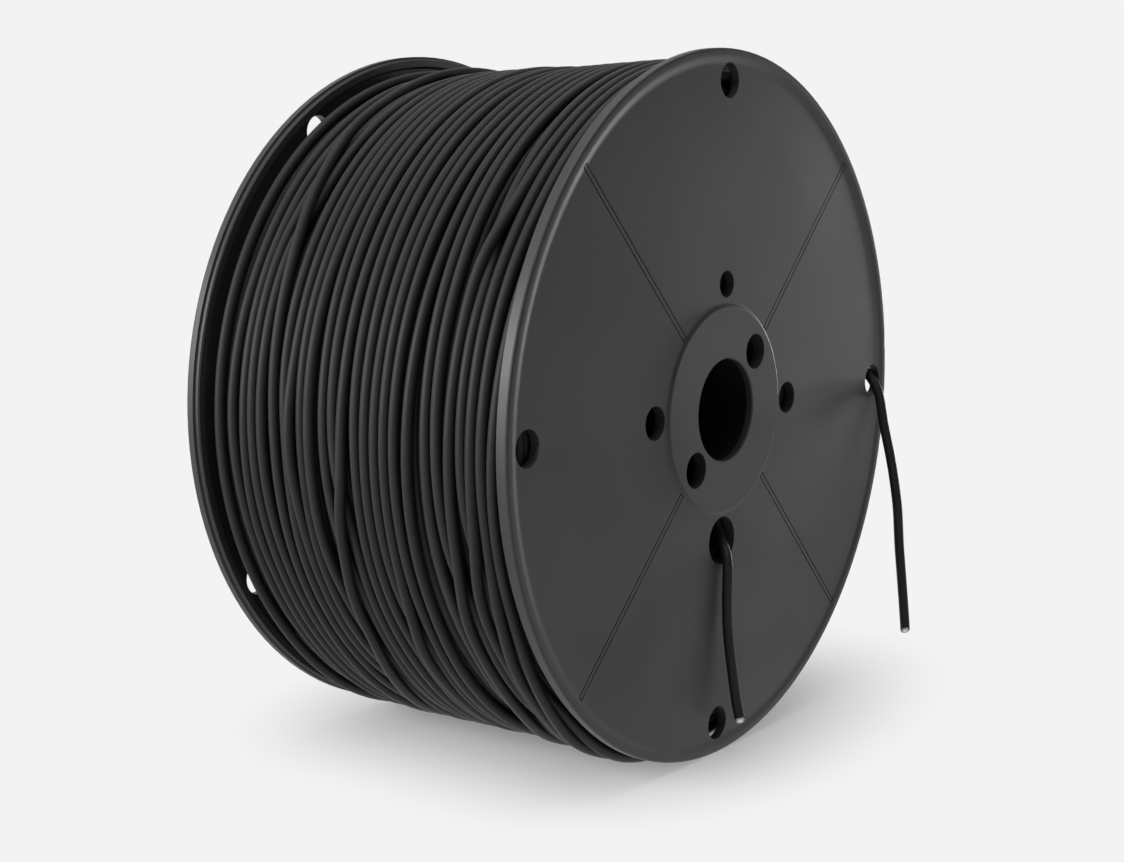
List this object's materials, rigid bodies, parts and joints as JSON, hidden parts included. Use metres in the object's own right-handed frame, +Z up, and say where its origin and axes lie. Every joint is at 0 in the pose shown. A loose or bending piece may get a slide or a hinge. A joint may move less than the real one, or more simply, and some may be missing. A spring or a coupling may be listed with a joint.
{
  "type": "wire spool",
  "caption": "Large moulded two-flange reel wound full of thin black cable, both cable ends brought out through one flange, with a spindle bore and drive holes.",
  "frame": {"origin": "middle of the spindle bore, half way between the flanges", "axes": "+Y along the spool's axis from the front flange to the rear one, +Z up as it stands on its rims, +X to the right seen from the front"},
  "size_m": [0.355, 0.2253, 0.355],
  "materials": {
    "flange": "satin moulded",
    "inner_moulding": "matte",
    "jacket": "matte extruded",
    "insulation": "matte",
    "tinned_strand": "stranded"
  },
  "bodies": {
    "root": {"front_flange": "flange", "rear_flange": "flange", "barrel": "inner_moulding", "arbor_tube": "inner_moulding", "cable_pack": "jacket", "outer_turns": "jacket", "start_tail": "jacket", "end_tail": "jacket", "start_insulation": "insulation", "end_insulation": "insulation", "start_conductor": "tinned_strand", "end_conductor": "tinned_strand"}
  },
  "joints": []
}
